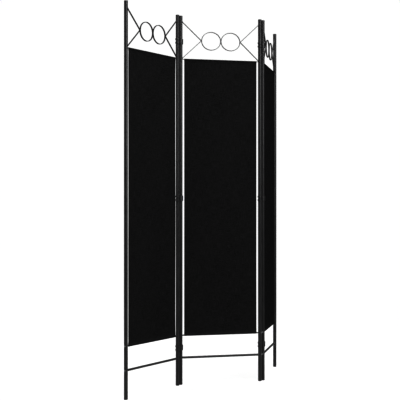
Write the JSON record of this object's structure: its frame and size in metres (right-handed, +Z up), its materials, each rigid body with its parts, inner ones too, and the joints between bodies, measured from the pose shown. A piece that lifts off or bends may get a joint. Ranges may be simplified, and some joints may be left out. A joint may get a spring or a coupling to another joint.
{
  "type": "folding room divider screen",
  "caption": "Folding free-standing screen: tube-framed fabric panels with oval-ring tops, joined by double-pivot hinge clips.",
  "frame": {"origin": "on the floor, at the middle of the standing screen's plan in its zigzag rest pose", "axes": "+Z up; +X along the centre panel from its left post to its right post; -Y is the front, to which the left panel swings"},
  "size_m": [0.9417, 0.6926, 1.8],
  "materials": {
    "black_steel": "satin black powder coat",
    "black_plastic": "moulded, fine matte texture",
    "black_fabric": "opaque plain-weave polyester",
    "zinc_screw": "zinc-plated low pan-head screws",
    "plain_steel": "plain machined steel, hidden in the rail"
  },
  "bodies": {
    "left_panel": {"left_panel_left_post": "black_steel", "left_panel_right_post": "black_steel", "left_panel_top_caps": "black_plastic", "left_panel_foot_caps": "black_plastic", "left_panel_top_rod": "black_steel", "left_panel_bottom_rod": "black_steel", "left_panel_cross_rail": "black_steel", "left_panel_rail_plugs": "plain_steel", "left_panel_fabric": "black_fabric", "left_panel_left_ring": "black_steel", "left_panel_right_ring": "black_steel", "left_panel_upper_left_brace": "black_steel", "left_panel_lower_left_brace": "black_steel", "left_panel_upper_right_brace": "black_steel", "left_panel_lower_right_brace": "black_steel", "left_panel_screws": "zinc_screw", "left_panel_stop_screws": "zinc_screw"},
    "centre_panel": {"centre_panel_left_post": "black_steel", "centre_panel_right_post": "black_steel", "centre_panel_top_caps": "black_plastic", "centre_panel_foot_caps": "black_plastic", "centre_panel_top_rod": "black_steel", "centre_panel_bottom_rod": "black_steel", "centre_panel_cross_rail": "black_steel", "centre_panel_rail_plugs": "plain_steel", "centre_panel_fabric": "black_fabric", "centre_panel_left_ring": "black_steel", "centre_panel_right_ring": "black_steel", "centre_panel_upper_left_brace": "black_steel", "centre_panel_lower_left_brace": "black_steel", "centre_panel_upper_right_brace": "black_steel", "centre_panel_lower_right_brace": "black_steel", "centre_panel_screws": "zinc_screw", "centre_panel_stop_screws": "zinc_screw"},
    "right_panel": {"right_panel_left_post": "black_steel", "right_panel_right_post": "black_steel", "right_panel_top_caps": "black_plastic", "right_panel_foot_caps": "black_plastic", "right_panel_top_rod": "black_steel", "right_panel_bottom_rod": "black_steel", "right_panel_cross_rail": "black_steel", "right_panel_rail_plugs": "plain_steel", "right_panel_fabric": "black_fabric", "right_panel_left_ring": "black_steel", "right_panel_right_ring": "black_steel", "right_panel_upper_left_brace": "black_steel", "right_panel_lower_left_brace": "black_steel", "right_panel_upper_right_brace": "black_steel", "right_panel_lower_right_brace": "black_steel", "right_panel_screws": "zinc_screw"},
    "left_fold_clips": {"left_fold_bottom_clip": "black_plastic", "left_fold_middle_clip": "black_plastic", "left_fold_top_clip": "black_plastic"},
    "right_fold_clips": {"right_fold_bottom_clip": "black_plastic", "right_fold_middle_clip": "black_plastic", "right_fold_top_clip": "black_plastic"}
  },
  "joints": [
    {"name": "left_fold_inner_pivot", "type": "hinge", "parent": "centre_panel", "child": "left_fold_clips", "pos_m": [-0.14341, -0.04407, 0.9], "axis": [0, 0, 1], "range_deg": [-50, 45]},
    {"name": "left_fold_outer_pivot", "type": "hinge", "parent": "left_fold_clips", "child": "left_panel", "pos_m": [-0.16356, -0.06422, 0.9], "axis": [0, 0, 1], "range_deg": [-2.5, 92.5]},
    {"name": "right_fold_inner_pivot", "type": "hinge", "parent": "centre_panel", "child": "right_fold_clips", "pos_m": [0.26059, -0.04407, 0.9], "axis": [0, 0, 1], "range_deg": [-46, 49]},
    {"name": "right_fold_outer_pivot", "type": "hinge", "parent": "right_fold_clips", "child": "right_panel", "pos_m": [0.2821, -0.02537, 0.9], "axis": [0, 0, 1], "range_deg": [-27.5, 67.5]}
  ]
}
